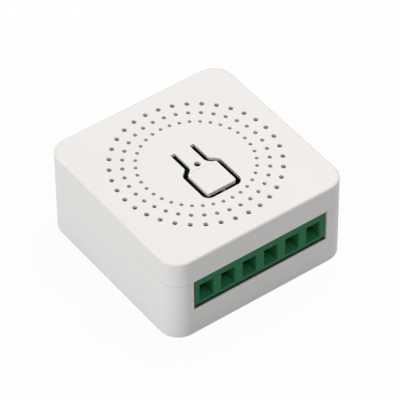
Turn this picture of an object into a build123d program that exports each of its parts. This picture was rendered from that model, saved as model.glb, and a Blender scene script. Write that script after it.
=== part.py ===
"""Smart relay module: a small square case with a sprung tongue button, a six-pole terminal block
and a circuit board with two relays. Millimetres, +Z up, origin at the centre of the underside,
terminal face towards -Y."""

import math
import os

from build123d import *

# Case
case_side = 41.0
case_height = 19.5
case_corner_radius = 4.2
case_wall = 1.7
top_edge_radius = 0.55
bottom_edge_radius = 0.25
seam_drop = 5.9
seam_gap = 0.06
seam_edge = 0.05
base_floor = 1.5
cover_plate = 0.75
overrun = 0.5

# Lip of the base inside the cover's skirt, and its snap ridges
lip_height = 1.3
lip_thickness = 0.7
lip_clearance = 0.1
snap_length = 9.0
snap_height = 0.5
snap_proud = 0.25
snap_clearance = 0.08

# Vent holes through the cover, in three rings
ring_radii = (11.5, 14.0, 16.5)
vent_diameters = (0.79, 0.89, 1.01)
vents_per_ring = 36

# Tongue button in the cover
slot_width = 1.05
arm_half_width = 1.72
arm_thickness = 0.67
root_y = 4.55
shoulder_y = -0.62
shoulder_angle = 40
shoulder_blend = 1.45
head_half_width = 3.35
head_front_y = -8.3
head_corner_radius = 0.55
head_shoulder_radius = 0.4
head_rise = 0.25
head_thickness = 0.85
head_edge_radius = 0.2
step_front_y = -1.95
step_length = 0.5
light_hole_diameter = 1.35
light_hole_y = -0.35
presser_diameter = 2.4
presser_y = -5.5
presser_gap = 0.05

# Circuit board
board_gap = 0.3
board_thickness = 1.2
board_rise = 0.4
post_diameter = 2.8
peg_diameter = 1.3
peg_clearance = 0.15
front_post_inset = 1.5
front_post_setback = 4.3
back_post_inset = 2.3
web_thickness = 1.0
board_seat_gap = 0.05

# Terminal block
pole_count = 6
block_post_gap = 0.45
block_end_margin = 0.15
block_recess = 0.32
block_depth = 9.78
block_floor_gap = 1.1
block_wall_gap = 0.3
nose_height = 6.6
nose_top_gap = 0.08
window_side_gap = 0.45
window_floor_gap = 0.75
sill_lip_thickness = 0.28
sill_pocket_depth = 1.2
entry_side_step = 0.325
entry_height = 4.15
entry_rise = 2.65
entry_depth = 2.0
throat_side_step = 0.3
throat_height_step = 0.35
chamber_wall = 1.1
chamber_back_wall = 0.7
chamber_floor_thickness = 2.9
chamber_roof_thickness = 1.65
screw_channel_clearance = 0.35
driver_hole_clearance = 0.5

# Clamp bodies in the block
clamp_clearance = 0.1
clamp_plate_thickness = 1.5
clamp_back_thickness = 0.8
clamp_bar_thickness = 0.75
clamp_front_setback = 1.4
screw_setback = 5.58
screw_side_wall = 0.55
screw_pitch = 0.45
screw_recess = 0.3
screw_fit = 0.05
thread_depth = 0.18
screw_chamfer = 0.25
driver_slot_width = 0.5
driver_slot_depth = 0.8
pin_width = 0.9
pin_thickness = 0.6
pin_stand = 0.8
pin_hole_clearance = 0.12

# Wire guards
guard_thickness = 0.6
guard_side_gap = 0.2
guard_screw_gap = 0.05
guard_lip_thickness = 0.4
guard_lip_drop = 0.8

# Relays, each in its own frame: length along X, height up from the board
relay_count = 2
relay_side_gap = 0.7
relay_gap = 0.6
relay_block_gap = 0.6
relay_radio_gap = 3.0
relay_floor_gap = 1.7
relay_wall = 0.5
relay_standoff = 0.3
relay_base_thickness = 0.8
relay_corner_radius = 0.4
relay_clearance = 0.06
relay_pin_diameter = 0.8
flange_side_gap = 0.95
flange_thickness = 0.7
coil_back_room = 2.5
contact_room = 8.7
coil_setback = 0.25
core_share = 0.4
bobbin_tube_share = 0.6
yoke_thickness = 0.8
yoke_headroom = 0.72
yoke_setback = 0.25
pole_thickness = 0.6
pole_overlap = 0.1
pole_gap = 0.1
hinge_gap = 0.1
armature_swing = 3.5
armature_clearance = 0.04
blade_width = 3.2
blade_thickness = 0.2
contact_pole_gap = 0.25
rivet_height = 0.45
fixed_strip_thickness = 0.4
fixed_rivet_height = 0.35
coil_pin_inset = 1.4
coil_pin_side_inset = 1.15
common_pin_inset = 3.9

# Push switch and light on the upper side of the board
switch_side = 4.0
switch_body_height = 1.0
switch_well_depth = 0.75
frame_thickness = 0.2
plunger_diameter = 2.2
plunger_height = 1.7
plunger_travel = 0.3
plunger_clearance = 0.08
light_length = 2.0
light_width = 1.25
light_height = 0.6

# Power supply, beside the relays: insets from the relays and from the terminal block,
# or from the relays and from the radio board
supply_width = 14.9
bulk_inset = (5.4, 5.0)
bulk_diameter = 8.0
bulk_floor_gap = 1.7
output_inset = (12.1, 3.8)
output_diameter = 5.0
output_floor_gap = 3.2
capacitor_standoff = 0.3
capacitor_edge_radius = 0.3
capacitor_bead_drop = 1.6
lead_diameter = 0.6
lead_pitch = 2.5
varistor_inset = (3.2, 13.8)
varistor_diameter = 7.0
varistor_thickness = 3.4
varistor_standoff = 1.0
fuse_inset = (7.4, 13.6)
fuse_diameter = 3.0
fuse_length = 6.6
fuse_standoff = 0.4
fuse_lead_reach = 0.9
rectifier_inset = (12.2, 9.5)
rectifier_size = (4.6, 3.2, 2.2)
rectifier_lead_count = 2
power_chip_inset = (3.8, 3.8)
power_chip_size = (4.9, 3.0, 1.5)
power_chip_lead_count = 4
chip_lead_thickness = 0.2
chip_lead_reach = 0.7
inductor_inset = (12.0, 6.8)
inductor_diameter = 5.6
inductor_waist = 2.6
inductor_height = 6.5
inductor_flange = 0.9
winding_setback = 0.35

# Radio board behind the relays
radio_inset = 5.1
radio_side_margin = 2.5
radio_thickness = 0.8
radio_floor_gap = 1.7
radio_pin_count = 7
radio_pin_inset = 0.5
radio_pin_diameter = 0.5
radio_pin_length = 2.4
shield_width = 13.0
shield_foot = 1.8
shield_depth = 2.2
shield_drop = 1.6
shield_wall = 0.2
shield_corner_radius = 0.6

# Small parts and solder on the board's upper side
small_part_length = 1.6
small_part_width = 0.8
small_part_height = 0.5
small_part_shares = (
    (-0.32, -0.1), (-0.32, 0.0), (-0.32, 0.1), (0.25, -0.1), (0.25, 0.0), (0.25, 0.1),
    (-0.24, 0.32), (0.06, 0.32), (0.18, 0.32), (-0.24, 0.42), (0.06, 0.42), (0.18, 0.42),
    (0.5, -0.58), (0.62, -0.58), (-0.5, -0.58), (-0.62, -0.58),
)
solder_width = 0.45
solder_height = 0.55

half_side = case_side / 2
inner_half = half_side - case_wall
seam_z = case_height - seam_drop
cover_underside_z = case_height - cover_plate
inner_corner_radius = case_corner_radius - case_wall
skirt_half = inner_half + lip_thickness + lip_clearance
lip_top_z = seam_z + lip_height
board_half = inner_half - board_gap
board_corner_radius = inner_corner_radius - board_gap
board_underside_z = seam_z + board_rise
board_top_z = board_underside_z + board_thickness
front_post_x = board_half - front_post_inset
front_post_y = -board_half + front_post_setback
back_post_x = board_half - back_post_inset
block_width = (front_post_x - post_diameter / 2 - block_post_gap) * 2
pole_pitch = (block_width - 2 * block_end_margin) / pole_count
pole_places = [(index - (pole_count - 1) / 2) * pole_pitch for index in range(pole_count)]
block_front_y = -half_side + block_recess
block_body_front_y = -inner_half + block_wall_gap
block_back_y = block_front_y + block_depth
block_underside_z = base_floor + block_floor_gap
nose_bottom_z = seam_z - nose_height
window_bottom_z = nose_bottom_z - window_floor_gap
chamber_width = pole_pitch - chamber_wall
chamber_floor_z = block_underside_z + chamber_floor_thickness
chamber_roof_z = board_underside_z - chamber_roof_thickness
entry_width = chamber_width - 2 * entry_side_step
entry_centre_z = nose_bottom_z + entry_rise
throat_width = entry_width - 2 * throat_side_step
throat_height = entry_height - 2 * throat_height_step
clamp_width = chamber_width - 2 * clamp_clearance
screw_y = block_front_y + screw_setback
screw_diameter = clamp_width - 2 * screw_side_wall - 2 * screw_fit
screw_channel_diameter = screw_diameter + 2 * screw_channel_clearance
driver_hole_diameter = screw_channel_diameter + 2 * driver_hole_clearance
clamp_plate_top_z = chamber_floor_z + clamp_clearance + clamp_plate_thickness
clamp_back_y = block_back_y - chamber_back_wall - clamp_clearance
clamp_front_y = block_front_y + entry_depth + clamp_front_setback
clamp_bar_underside_z = chamber_roof_z - clamp_clearance - clamp_bar_thickness
guard_underside_z = clamp_plate_top_z + guard_screw_gap + clamp_clearance
screw_top_z = guard_underside_z - guard_screw_gap
screw_length = screw_top_z - block_underside_z - screw_recess
plunger_top_z = board_top_z + plunger_height
radio_y = board_half - radio_inset
relay_length = radio_y - relay_radio_gap - block_back_y - relay_block_gap
relay_centre_y = block_back_y + relay_block_gap + relay_length / 2
relays_room = 2 * board_half - relay_side_gap - supply_width
relay_width = (relays_room - (relay_count - 1) * relay_gap) / relay_count
relay_height = board_underside_z - base_floor - relay_floor_gap
first_relay_x = -board_half + relay_side_gap + relay_width / 2
relay_places_x = [first_relay_x + index * (relay_width + relay_gap) for index in range(relay_count)]
relay_base_top = relay_standoff + relay_base_thickness
flange_height = (
    relay_height - relay_wall - yoke_headroom - yoke_thickness - 3 * relay_clearance - relay_base_top
)
flange_width = relay_width - 2 * relay_wall - 2 * flange_side_gap
coil_back_x = -relay_length / 2 + coil_back_room
coil_front_x = relay_length / 2 - contact_room
coil_diameter = min(flange_width, flange_height) - 2 * coil_setback
bobbin_tube_diameter = coil_diameter * bobbin_tube_share
core_diameter = coil_diameter * core_share
pole_diameter = bobbin_tube_diameter + 2 * pole_overlap
yoke_width = flange_width - 2 * yoke_setback
coil_pin_x = -relay_length / 2 + coil_pin_inset
coil_pin_y = relay_width / 2 - coil_pin_side_inset
common_pin_x = relay_length / 2 - common_pin_inset
coil_centre_z = relay_base_top + relay_clearance * 2 + flange_height / 2
yoke_top_z = coil_centre_z + flange_height / 2 + relay_clearance + yoke_thickness
yoke_leg_x = coil_back_x - flange_thickness - relay_clearance
pole_face_x = coil_front_x + flange_thickness + pole_gap + pole_thickness
hinge_z = yoke_top_z - yoke_thickness / 2
swing_sine = math.sin(math.radians(armature_swing))
pole_low_z = coil_centre_z - pole_diameter / 2
rivet_diameter = pole_low_z - contact_pole_gap - relay_base_top - relay_clearance * 2
contact_z = relay_base_top + relay_clearance * 2 + rivet_diameter / 2
hinge_x = pole_face_x + (hinge_z - pole_low_z) * swing_sine + armature_clearance
armature_low_z = pole_low_z
contact_travel = (hinge_z - contact_z + rivet_diameter / 2) * swing_sine
fixed_strip_back_x = (
    hinge_x + yoke_thickness - rivet_height - contact_travel - armature_clearance
    - fixed_rivet_height - fixed_strip_thickness
)
supply_left_x = board_half - supply_width
bulk_height = board_underside_z - capacitor_standoff - base_floor - bulk_floor_gap
output_height = board_underside_z - capacitor_standoff - base_floor - output_floor_gap
radio_height = board_underside_z - base_floor - radio_floor_gap
radio_width = shield_width + 2 * radio_side_margin
radio_pin_pitch = (shield_width - 2 * radio_pin_inset) / (radio_pin_count - 1)
shield_height = radio_height - shield_drop - shield_foot
post_places = [
    (side * x, y)
    for side in (-1, 1)
    for x, y in ((front_post_x, front_post_y), (back_post_x, back_post_x))
]


def beside_block(inset):
    """A place in the power supply, from the relays and the terminal block."""
    return (supply_left_x + inset[0], block_back_y + inset[1])


def beside_radio(inset):
    """A place in the power supply, from the relays and the radio board."""
    return (supply_left_x + inset[0], radio_y - inset[1])


bulk_place = beside_block(bulk_inset)
output_place = beside_block(output_inset)
varistor_place = beside_block(varistor_inset)
fuse_place = beside_block(fuse_inset)
rectifier_place = beside_block(rectifier_inset)
power_chip_place = beside_radio(power_chip_inset)
inductor_place = beside_radio(inductor_inset)


def block(low, high):
    """A box between two opposite corners."""
    size = [b - a for a, b in zip(low, high)]
    middle = [(a + b) / 2 for a, b in zip(low, high)]
    return Pos(*middle) * Box(*size)


def rod(x, y, bottom, top, diameter):
    """An upright round rod."""
    return Pos(x, y, (bottom + top) / 2) * Cylinder(diameter / 2, top - bottom)


def rod_along_y(x, z, front, back, diameter):
    """A round rod that lies along Y."""
    return Pos(x, (front + back) / 2, z) * Rot(90, 0, 0) * Cylinder(diameter / 2, back - front)


def rod_along_x(y, z, left, right, diameter):
    """A round rod that lies along X."""
    return Pos((left + right) / 2, y, z) * Rot(0, 90, 0) * Cylinder(diameter / 2, right - left)


def slab(half, radius, bottom, top):
    """A square slab with rounded upright corners, centred on Z."""
    outline = Plane.XY.offset(bottom) * RectangleRounded(half * 2, half * 2, radius)
    return extrude(outline, top - bottom)


def edges_at(shape, z, tolerance=overrun / 50):
    """The edges that lie level at height z."""
    return [
        edge
        for edge in shape.edges()
        if abs(edge.bounding_box().min.Z - z) < tolerance
        and abs(edge.bounding_box().max.Z - z) < tolerance
    ]


def save(name, shape):
    """Writes one sub-part."""
    shape.label = name
    export_step(shape, f"parts/{name}.step")


def button_outline():
    """The tongue: a narrow arm from its root, sloping shoulders, then a wide head."""
    shoulder_drop = (head_half_width - arm_half_width) * math.tan(math.radians(shoulder_angle))
    right = [
        (arm_half_width, root_y),
        (arm_half_width, shoulder_y),
        (head_half_width, shoulder_y - shoulder_drop),
        (head_half_width, head_front_y),
    ]
    left = [(-x, y) for x, y in reversed(right)]
    outline = make_face(Polyline(*right, *left, close=True))

    def corners(level):
        return [v for v in outline.vertices() if abs(v.Y - level) < overrun / 50]

    for level, radius in (
        (shoulder_y, shoulder_blend),
        (shoulder_y - shoulder_drop, head_shoulder_radius),
        (head_front_y, head_corner_radius),
    ):
        outline = fillet(corners(level), radius)
    return outline


def button_opening():
    """The cover's cut-out round the tongue: the same outline, wider by the slot."""
    wide = offset(button_outline(), slot_width, kind=Kind.ARC)
    beyond_root = Pos(0, root_y + case_side / 2) * Rectangle(case_side, case_side)
    return wide - beyond_root


def make_cover():
    """Upper shell: plate, skirt, vent holes, button cut-out and hold-down pins."""
    skirt_bottom_z = seam_z + seam_gap
    outer = slab(half_side, case_corner_radius, skirt_bottom_z, case_height)
    outer = fillet(edges_at(outer, case_height), top_edge_radius)
    outer = chamfer(edges_at(outer, skirt_bottom_z), seam_edge)
    inside = slab(inner_half, inner_corner_radius, seam_z - overrun, cover_underside_z)
    lip_room = slab(
        skirt_half,
        inner_corner_radius + skirt_half - inner_half,
        seam_z - overrun,
        lip_top_z + lip_clearance,
    )
    cover = outer - inside - lip_room
    cutter = extrude(Plane.XY.offset(cover_underside_z - overrun) * button_opening(),
                     cover_plate + 2 * overrun)
    root = block(
        (-arm_half_width, root_y - slot_width, cover_underside_z),
        (arm_half_width, root_y, case_height),
    )
    thin_root = block(
        (-arm_half_width - slot_width, root_y - overrun, cover_underside_z - overrun),
        (arm_half_width + slot_width, root_y, case_height - arm_thickness),
    )
    cover = cover - cutter - root - thin_root
    vents = []
    for radius, diameter in zip(ring_radii, vent_diameters):
        for index in range(vents_per_ring):
            angle = math.radians(360 / vents_per_ring * index)
            x = radius * math.cos(angle)
            y = radius * math.sin(angle)
            vents.append(rod(x, y, cover_underside_z - overrun, case_height + overrun, diameter))
    cover = cover - vents
    grooves = snap_ridges(snap_clearance)
    cover = cover - grooves
    for x, y in post_places:
        bottom = board_top_z + board_seat_gap
        pin = rod(x, y, bottom, cover_underside_z, post_diameter)
        peg_room = rod(x, y, bottom - overrun, cover_underside_z, peg_diameter + 2 * peg_clearance)
        cover = cover + (pin - peg_room)
    return cover


def snap_ridges(extra):
    """Ridges on the lip's outer faces, or their grooves when made larger by extra."""
    middle_z = (seam_z + lip_top_z) / 2
    lip_outer = inner_half + lip_thickness
    ridges = []
    for side in (-1, 1):
        low_x, high_x = sorted((side * (lip_outer - overrun), side * (lip_outer + snap_proud + extra)))
        reach = snap_length / 2 + extra
        rise = snap_height / 2 + extra
        ridges.append(block((low_x, -reach, middle_z - rise), (high_x, reach, middle_z + rise)))
    back = block(
        (-snap_length / 2 - extra, lip_outer - overrun, middle_z - snap_height / 2 - extra),
        (snap_length / 2 + extra, lip_outer + snap_proud + extra, middle_z + snap_height / 2 + extra),
    )
    return ridges + [back]


def make_button():
    """Tongue with its raised head, light hole and the presser under the head."""
    top = case_height + head_rise
    head_under_z = top - head_thickness
    arm_under_z = case_height - arm_thickness
    lowest_z = min(head_under_z, arm_under_z)
    body = extrude(Plane.XY.offset(lowest_z) * button_outline(), top - lowest_z)
    step_back_y = step_front_y + step_length
    side_view = [
        (root_y, case_height),
        (step_back_y, case_height),
        (step_front_y, top),
        (head_front_y - overrun, top),
        (head_front_y - overrun, head_under_z),
        (step_front_y, head_under_z),
        (step_back_y, arm_under_z),
        (root_y, arm_under_z),
    ]
    profile = make_face(Polyline(*side_view, close=True))
    upright = Plane(origin=(-case_side / 2, 0, 0), x_dir=(0, 1, 0), z_dir=(1, 0, 0))
    body = body & extrude(upright * profile, case_side)
    level = [e for e in edges_at(body, top) if e.center().Y < step_front_y - overrun / 50]
    body = fillet(level, head_edge_radius)
    body = body - rod(0, light_hole_y, arm_under_z - overrun, top, light_hole_diameter)
    presser_bottom = plunger_top_z + presser_gap
    return body + rod(0, presser_y, presser_bottom, head_under_z + overrun, presser_diameter)


def make_base():
    """Lower shell: floor, walls, lip, window with its sill, driver holes and board posts."""
    outer = slab(half_side, case_corner_radius, 0, seam_z)
    outer = fillet(edges_at(outer, 0), bottom_edge_radius)
    outer = chamfer(edges_at(outer, seam_z), seam_edge)
    lip_radius = inner_corner_radius + lip_thickness
    outer = outer + slab(inner_half + lip_thickness, lip_radius, base_floor, lip_top_z)
    outer = outer + snap_ridges(0)
    base = outer - slab(inner_half, inner_corner_radius, base_floor, lip_top_z + overrun)
    window_half = block_width / 2 + window_side_gap
    base = base - block(
        (-window_half, -half_side - overrun, window_bottom_z),
        (window_half, -inner_half + overrun, lip_top_z + overrun),
    )
    base = base - block(
        (-window_half, -half_side + sill_lip_thickness, window_bottom_z - sill_pocket_depth),
        (window_half, -inner_half + overrun, window_bottom_z + overrun),
    )
    for x in pole_places:
        base = base - rod(x, screw_y, -overrun, base_floor + overrun, driver_hole_diameter)
    inner_block = slab(inner_half + case_wall / 2, inner_corner_radius, base_floor - overrun, seam_z)
    for x, y in post_places:
        side = math.copysign(1, x)
        post = rod(x, y, base_floor - overrun, board_underside_z, post_diameter)
        web_ends = sorted((x, side * (inner_half + case_wall / 2)))
        web = block(
            (web_ends[0], y - web_thickness / 2, base_floor - overrun),
            (web_ends[1], y + web_thickness / 2, board_underside_z - board_thickness),
        )
        peg = rod(x, y, base_floor, board_top_z + board_thickness / 2, peg_diameter)
        base = base + ((post + web) & inner_block) + peg
        base = base + rod(x, y, seam_z - overrun, board_underside_z, post_diameter)
    return base


def make_board():
    """Circuit board with holes for the pegs and the terminal pins."""
    board = slab(board_half, board_corner_radius, board_underside_z, board_top_z)
    holes = []
    for x, y in post_places:
        holes.append(rod(x, y, board_underside_z - overrun, board_top_z + overrun,
                         peg_diameter + 2 * peg_clearance))
    for x, y, diameter in board_pins():
        holes.append(rod(x, y, board_underside_z - overrun, board_top_z + overrun,
                         diameter + 2 * pin_hole_clearance))
    return board - holes


def make_housing():
    """Six-pole terminal block body with funnel entries, chambers and screw channels."""
    half_width = block_width / 2
    nose = block(
        (-half_width, block_front_y, nose_bottom_z),
        (half_width, block_body_front_y + overrun, seam_z - nose_top_gap),
    )
    body = block(
        (-half_width, block_body_front_y, block_underside_z),
        (half_width, block_back_y, board_underside_z),
    )
    housing = nose + body
    cuts = []
    throat_y = block_front_y + entry_depth
    chamber_half = chamber_width / 2
    for x in pole_places:
        mouth_plane = Plane(origin=(x, block_front_y, entry_centre_z), x_dir=(1, 0, 0), z_dir=(0, 1, 0))
        throat_plane = Plane(origin=(x, throat_y, entry_centre_z), x_dir=(1, 0, 0), z_dir=(0, 1, 0))
        mouth = mouth_plane * Rectangle(entry_width, entry_height)
        throat = throat_plane * Rectangle(throat_width, throat_height)
        cuts.append(loft([mouth, throat], ruled=True))
        cuts.append(block(
            (x - throat_width / 2, throat_y - overrun, entry_centre_z - throat_height / 2),
            (x + throat_width / 2, clamp_front_y, entry_centre_z + throat_height / 2),
        ))
        cuts.append(block(
            (x - chamber_half, clamp_front_y - clamp_clearance - clamp_front_setback / 2, chamber_floor_z),
            (x + chamber_half, block_back_y - chamber_back_wall, chamber_roof_z),
        ))
        cuts.append(rod(x, screw_y, block_underside_z - overrun, chamber_floor_z + overrun,
                        screw_channel_diameter))
        cuts.append(block(
            (x - pin_width / 2 - clamp_clearance, screw_y - pin_width / 2, chamber_roof_z - overrun),
            (x + pin_width / 2 + clamp_clearance, screw_y + pin_width / 2, board_underside_z + overrun),
        ))
    return housing - cuts


def make_clamp(x):
    """One brass clamp body: threaded plate, back, contact bar and solder pin."""
    half = chamber_width / 2 - clamp_clearance
    floor = chamber_floor_z + clamp_clearance
    plate = block((x - half, clamp_front_y, floor), (x + half, clamp_back_y, clamp_plate_top_z))
    back = block(
        (x - half, clamp_back_y - clamp_back_thickness, floor),
        (x + half, clamp_back_y, chamber_roof_z - clamp_clearance),
    )
    bar = block(
        (x - half, clamp_front_y, clamp_bar_underside_z),
        (x + half, clamp_back_y, chamber_roof_z - clamp_clearance),
    )
    pin = block(
        (x - pin_width / 2, screw_y - pin_thickness / 2, clamp_bar_underside_z),
        (x + pin_width / 2, screw_y + pin_thickness / 2, board_top_z + pin_stand),
    )
    thread = rod(x, screw_y, floor - overrun, clamp_plate_top_z + overrun,
                 screw_diameter + 2 * screw_fit)
    return plate + back + bar + pin - thread


def make_guard(x):
    """One wire guard: a plate over the screw with a lip turned down at the wire side."""
    half = chamber_width / 2 - guard_side_gap
    back_y = clamp_back_y - clamp_back_thickness - guard_side_gap
    lip_front_y = clamp_front_y - clamp_clearance - guard_lip_thickness
    plate = block(
        (x - half, lip_front_y, guard_underside_z),
        (x + half, back_y, guard_underside_z + guard_thickness),
    )
    lip = block(
        (x - half, lip_front_y, guard_underside_z - guard_lip_drop),
        (x + half, lip_front_y + guard_lip_thickness, guard_underside_z + guard_thickness / 2),
    )
    return plate + lip


def make_screw(x):
    """One headless slotted screw with its thread as even grooves."""
    bottom = screw_top_z - screw_length
    radius = screw_diameter / 2
    points = [(0, bottom), (radius - screw_chamfer, bottom), (radius, bottom + screw_chamfer)]
    turns = int((screw_length - 2 * screw_chamfer) / screw_pitch)
    start = bottom + screw_chamfer
    for index in range(turns):
        points.append((radius - thread_depth, start + (index + 1 / 2) * screw_pitch))
        points.append((radius, start + (index + 1) * screw_pitch))
    points += [(radius, screw_top_z - screw_chamfer), (radius - screw_chamfer, screw_top_z), (0, screw_top_z)]
    profile = make_face(Plane.XZ * Polyline(*points, close=True))
    body = revolve(profile, Axis.Z)
    slot = block(
        (-screw_diameter, -driver_slot_width / 2, bottom - overrun),
        (screw_diameter, driver_slot_width / 2, bottom + driver_slot_depth),
    )
    return Pos(x, screw_y, 0) * (body - slot)


def relay_place(index):
    """Where a relay's own frame sits: its length along Y, hanging from the board."""
    return Pos(relay_places_x[index], relay_centre_y, board_underside_z) * Rot(0, 0, 90) * Rot(180, 0, 0)


def relay_pin_places():
    """Pins of one relay in its own frame: two for the coil, common and fixed contact."""
    return [
        (coil_pin_x, -coil_pin_y),
        (coil_pin_x, coil_pin_y),
        (common_pin_x, 0),
        (fixed_strip_back_x + fixed_strip_thickness / 2, 0),
    ]


def make_relay_case():
    """Moulded case of a relay, open towards the board."""
    half_length = relay_length / 2
    half_width = relay_width / 2
    outer = block((-half_length, -half_width, relay_standoff), (half_length, half_width, relay_height))
    outer = fillet(outer.edges().filter_by(Axis.Z), relay_corner_radius)
    inner = block(
        (-half_length + relay_wall, -half_width + relay_wall, relay_standoff - overrun),
        (half_length - relay_wall, half_width - relay_wall, relay_height - relay_wall),
    )
    return outer - inner


def make_relay_base():
    """Base plate of a relay, inside the case's rim, with holes for its pins."""
    half_length = relay_length / 2 - relay_wall - relay_clearance
    half_width = relay_width / 2 - relay_wall - relay_clearance
    base = block((-half_length, -half_width, relay_standoff), (half_length, half_width, relay_base_top))
    holes = [
        rod(x, y, 0, relay_base_top + overrun, relay_pin_diameter + 2 * relay_clearance)
        for x, y in relay_pin_places()
    ]
    return base - holes


def make_relay_bobbin():
    """Bobbin: a tube between two square flanges."""
    half = flange_width / 2
    half_height = flange_height / 2
    bobbin = rod_along_x(0, coil_centre_z, coil_back_x - flange_thickness,
                         coil_front_x + flange_thickness, bobbin_tube_diameter)
    for left in (coil_back_x - flange_thickness, coil_front_x):
        bobbin = bobbin + block(
            (left, -half, coil_centre_z - half_height),
            (left + flange_thickness, half, coil_centre_z + half_height),
        )
    bore = core_diameter + 2 * relay_clearance
    return bobbin - rod_along_x(0, coil_centre_z, coil_back_x - relay_length,
                                coil_front_x + relay_length, bore)


def make_relay_coil():
    """Winding of the relay coil as one ring."""
    winding = rod_along_x(0, coil_centre_z, coil_back_x + relay_clearance,
                          coil_front_x - relay_clearance, coil_diameter)
    bore = bobbin_tube_diameter + 2 * relay_clearance
    return winding - rod_along_x(0, coil_centre_z, coil_back_x, coil_front_x, bore)


def make_relay_yoke():
    """Yoke with its upright leg, long leg and the core with its pole face."""
    half = yoke_width / 2
    leg_back_x = yoke_leg_x - yoke_thickness
    upright_leg = block((leg_back_x, -half, relay_base_top + relay_clearance),
                        (yoke_leg_x, half, yoke_top_z))
    long_leg = block((leg_back_x, -half, yoke_top_z - yoke_thickness), (hinge_x - hinge_gap, half, yoke_top_z))
    core = rod_along_x(0, coil_centre_z, leg_back_x + yoke_thickness / 2, pole_face_x, core_diameter)
    pole = rod_along_x(0, coil_centre_z, pole_face_x - pole_thickness, pole_face_x, pole_diameter)
    return upright_leg + long_leg + core + pole


def make_relay_armature():
    """Steel armature plate in front of the pole face, hinged at the yoke's end."""
    half = yoke_width / 2
    return block(
        (hinge_x, -half, armature_low_z),
        (hinge_x + yoke_thickness, half, yoke_top_z),
    )


def make_relay_blade():
    """Contact blade on the armature, with its rivet."""
    half = blade_width / 2
    front = hinge_x + yoke_thickness
    blade = block(
        (front, -half, contact_z - rivet_diameter / 2),
        (front + blade_thickness, half, yoke_top_z - yoke_thickness),
    )
    return blade + rod_along_x(0, contact_z, front - rivet_height, front + blade_thickness / 2, rivet_diameter)


def make_relay_fixed_contact():
    """Fixed contact strip with its rivet and its pin through the base."""
    half = blade_width / 2
    back_x = fixed_strip_back_x
    front_x = back_x + fixed_strip_thickness
    strip = block((back_x, -half, relay_base_top + relay_clearance),
                  (front_x, half, contact_z + rivet_diameter / 2))
    rivet = rod_along_x(0, contact_z, back_x + fixed_strip_thickness / 2,
                        front_x + fixed_rivet_height, rivet_diameter)
    pin = rod((back_x + front_x) / 2, 0, -board_thickness - pin_stand, relay_base_top + overrun,
              relay_pin_diameter)
    return strip + rivet + pin


def make_relay_pins():
    """Coil pins and common pin of a relay."""
    return [
        rod(x, y, -board_thickness - pin_stand, relay_base_top + relay_pin_diameter, relay_pin_diameter)
        for x, y in relay_pin_places()[:3]
    ]


def make_switch_body():
    """Body of the push switch with the plunger's well."""
    half = switch_side / 2
    body = block(
        (-half, presser_y - half, board_top_z),
        (half, presser_y + half, board_top_z + switch_body_height),
    )
    well_bottom = board_top_z + switch_body_height - switch_well_depth
    return body - rod(0, presser_y, well_bottom, case_height, plunger_diameter + 2 * plunger_clearance)


def make_switch_frame():
    """Sheet-metal frame over the switch body."""
    half = switch_side / 2
    bottom = board_top_z + switch_body_height
    frame = block((-half, presser_y - half, bottom), (half, presser_y + half, bottom + frame_thickness))
    frame = fillet(frame.edges().filter_by(Axis.Z), frame_thickness)
    return frame - rod(0, presser_y, bottom - overrun, case_height, plunger_diameter + 4 * plunger_clearance)


def make_plunger():
    """Plunger of the push switch, with a chamfered top."""
    bottom = board_top_z + switch_body_height - switch_well_depth + plunger_travel + plunger_clearance
    plunger = rod(0, presser_y, bottom, plunger_top_z, plunger_diameter)
    return chamfer(edges_at(plunger, plunger_top_z), plunger_clearance * 2)


def make_status_light():
    """Chip light with its clear dome."""
    base = block(
        (-light_length / 2, light_hole_y - light_width / 2, board_top_z),
        (light_length / 2, light_hole_y + light_width / 2, board_top_z + light_height),
    )
    return base + rod(0, light_hole_y, board_top_z, board_top_z + light_height * 3 / 2, light_width)


def make_capacitor(place, diameter, height):
    """Upright electrolytic capacitor with its bead and two leads."""
    x, y = place
    top = board_underside_z - capacitor_standoff
    can = rod(x, y, top - height, top, diameter)
    can = fillet(edges_at(can, top - height) + edges_at(can, top), capacitor_edge_radius)
    bead_z = top - capacitor_bead_drop
    groove = Pos(x, y, bead_z) * Torus(diameter / 2 + capacitor_edge_radius / 2, capacitor_edge_radius)
    can = can - groove
    for lead_x, lead_y in lead_places(place):
        can = can + rod(lead_x, lead_y, top - capacitor_standoff, board_top_z + pin_stand, lead_diameter)
    return can


def lead_places(place):
    """The two leads of an upright part, side by side along X."""
    x, y = place
    return [(x - lead_pitch / 2, y), (x + lead_pitch / 2, y)]


def make_varistor():
    """Disc varistor that stands on its edge, with two leads."""
    x, y = varistor_place
    centre_z = board_underside_z - varistor_standoff - varistor_diameter / 2
    disc = rod_along_x(y, centre_z, x - varistor_thickness / 2, x + varistor_thickness / 2,
                       varistor_diameter)
    disc = fillet(disc.edges().filter_by(GeomType.CIRCLE), varistor_thickness / 3)
    for lead_y in (y - lead_pitch / 2, y + lead_pitch / 2):
        disc = disc + rod(x, lead_y, centre_z + varistor_diameter / 4, board_top_z + pin_stand, lead_diameter)
    return disc


def make_fuse_resistor():
    """Fuse resistor along Y with bent leads at its ends."""
    x, y = fuse_place
    z = board_underside_z - fuse_standoff - fuse_diameter / 2
    half = fuse_length / 2
    body = rod_along_y(x, z, y - half, y + half, fuse_diameter)
    body = fillet(body.edges().filter_by(GeomType.CIRCLE), fuse_diameter / 6)
    reach = half + fuse_lead_reach
    body = body + rod_along_y(x, z, y - reach, y + reach, lead_diameter)
    for lead_y in (y - reach, y + reach):
        body = body + rod(x, lead_y, z - lead_diameter / 2, board_top_z + pin_stand, lead_diameter)
    return body


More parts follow.
